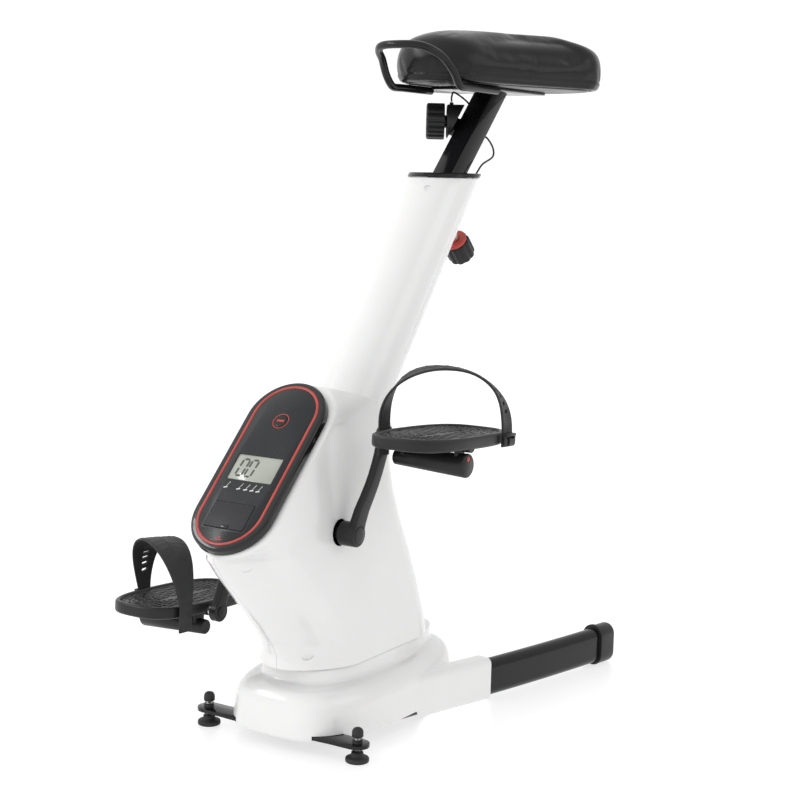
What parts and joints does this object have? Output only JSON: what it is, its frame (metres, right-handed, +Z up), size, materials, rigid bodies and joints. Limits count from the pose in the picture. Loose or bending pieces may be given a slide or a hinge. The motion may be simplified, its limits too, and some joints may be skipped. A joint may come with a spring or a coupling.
{
  "type": "desk exercise bike",
  "caption": "Upright desk exercise bike with a leaning mast, a height-set seat with a handle loop, strapped pedals, a round-ended console and a horseshoe base.",
  "frame": {"origin": "on the floor, under the middle of the whole bike's box", "axes": "+Z up, -Y towards the front where the console is, +Y to the rear under the seat, +X to the rider's left when the rider faces the console"},
  "size_m": [0.5272, 0.8424, 1.014],
  "materials": {
    "white_plastic": "white, satin gloss",
    "black_gloss_plastic": "black, glossy",
    "black_plastic": "black, satin",
    "black_paint": "black, glossy paint",
    "black_rubber": "black, matt",
    "black_leather": "black imitation leather over foam, soft sheen",
    "red_plastic": "red, satin",
    "zinc_steel": "zinc plated",
    "cast_iron": "turned",
    "lcd_window": "clear window over a grey display",
    "circuit_board": "green board"
  },
  "bodies": {
    "frame": {"base_tube": "black_paint", "left_end_cap": "black_plastic", "right_end_cap": "black_plastic", "foot_bar": "black_paint", "base_cover": "white_plastic", "left_shell": "white_plastic", "right_shell": "white_plastic", "mast_cover": "white_plastic", "mast_collar": "black_plastic", "receiver_tube": "black_paint", "post_sleeve": "black_plastic", "pull_barrel": "zinc_steel", "console_housing": "black_gloss_plastic", "red_ring": "red_plastic", "lcd_window": "lcd_window", "circuit_board": "circuit_board", "battery_cells": "zinc_steel", "frame_spine": "black_paint", "bearing_cartridge": "zinc_steel", "drive_belt": "black_rubber", "speed_sensor": "black_plastic", "tension_cable": "black_rubber"},
    "crank_set": {"crank_axle": "zinc_steel", "left_crank": "black_paint", "right_crank": "black_paint", "left_spindle": "zinc_steel", "right_spindle": "zinc_steel", "drive_pulley": "black_plastic"},
    "left_pedal_set": {"left_pedal": "black_plastic", "left_strap": "black_rubber", "left_buckle": "black_plastic", "left_reflector": "red_plastic"},
    "right_pedal_set": {"right_pedal": "black_plastic", "right_strap": "black_rubber", "right_buckle": "black_plastic", "right_reflector": "red_plastic"},
    "flywheel_set": {"flywheel": "cast_iron", "flywheel_axle": "zinc_steel"},
    "brake_set": {"brake_arm": "zinc_steel", "brake_magnet": "zinc_steel"},
    "seat_set": {"seat_cushion": "black_leather", "seat_board": "black_plastic", "seat_bracket": "black_paint", "seat_handle": "black_paint", "seat_post": "black_paint", "tension_housing": "black_plastic", "tension_bracket": "black_paint"},
    "tension_dial": {"tension_knob": "black_plastic"},
    "pull_set": {"pull_pin": "zinc_steel", "pull_knob": "black_plastic", "pull_ring": "red_plastic"},
    "mode_key": {"mode_button": "black_gloss_plastic"},
    "battery_lid": {"battery_door": "black_plastic"},
    "left_foot": {"left_foot_pad": "black_rubber", "left_foot_stud": "zinc_steel", "left_foot_cap": "black_rubber"},
    "right_foot": {"right_foot_pad": "black_rubber", "right_foot_stud": "zinc_steel", "right_foot_cap": "black_rubber"}
  },
  "joints": [
    {"name": "crank_spin", "type": "hinge", "parent": "frame", "child": "crank_set", "pos_m": [0, -0.2278, 0.305], "axis": [1, 0, 0], "continuous": true},
    {"name": "left_pedal_spin", "type": "hinge", "parent": "crank_set", "child": "left_pedal_set", "pos_m": [0.19, -0.19393, 0.44084], "axis": [1, 0, 0], "continuous": true},
    {"name": "right_pedal_spin", "type": "hinge", "parent": "crank_set", "child": "right_pedal_set", "pos_m": [-0.19, -0.26167, 0.16916], "axis": [1, 0, 0], "continuous": true},
    {"name": "flywheel_spin", "type": "hinge", "parent": "frame", "child": "flywheel_set", "pos_m": [0, -0.0918, 0.212], "axis": [1, 0, 0], "continuous": true},
    {"name": "brake_lift", "type": "hinge", "parent": "frame", "child": "brake_set", "pos_m": [0, -0.12402, 0.29174], "axis": [1, 0, 0], "range_deg": [0, 4.05]},
    {"name": "seat_height", "type": "slide", "parent": "frame", "child": "seat_set", "axis": [0, 0.6884, 0.7254], "range_m": [-0.025, 0.1], "deforming": ["tension_cable"]},
    {"name": "tension_turn", "type": "hinge", "parent": "seat_set", "child": "tension_dial", "pos_m": [-0.04609, 0.19342, 0.8807], "axis": [-0.848, -0.5299, 0], "range_deg": [0, 270]},
    {"name": "pull_pin_slide", "type": "slide", "parent": "frame", "child": "pull_set", "axis": [0, 0.7254, -0.6884], "range_m": [0, 0.012], "stiffness_N_per_m": 500, "springref_m": -0.006},
    {"name": "mode_press", "type": "slide", "parent": "frame", "child": "mode_key", "axis": [0, 0.7133, -0.7009], "range_m": [0, 0.0015], "stiffness_N_per_m": 300, "springref_m": -0.001},
    {"name": "battery_lid_lift", "type": "slide", "parent": "frame", "child": "battery_lid", "axis": [0, -0.7133, 0.7009], "range_m": [0, 0.012]},
    {"name": "left_foot_level", "type": "slide", "parent": "frame", "child": "left_foot", "axis": [0, 0, -1], "range_m": [-0.006, 0.003]},
    {"name": "right_foot_level", "type": "slide", "parent": "frame", "child": "right_foot", "axis": [0, 0, -1], "range_m": [-0.006, 0.003]}
  ],
  "couplings": [
    {"joint": "flywheel_spin", "follows": "crank_spin", "ratio": 5.255},
    {"joint": "brake_lift", "follows": "tension_turn", "ratio": 0.015}
  ]
}
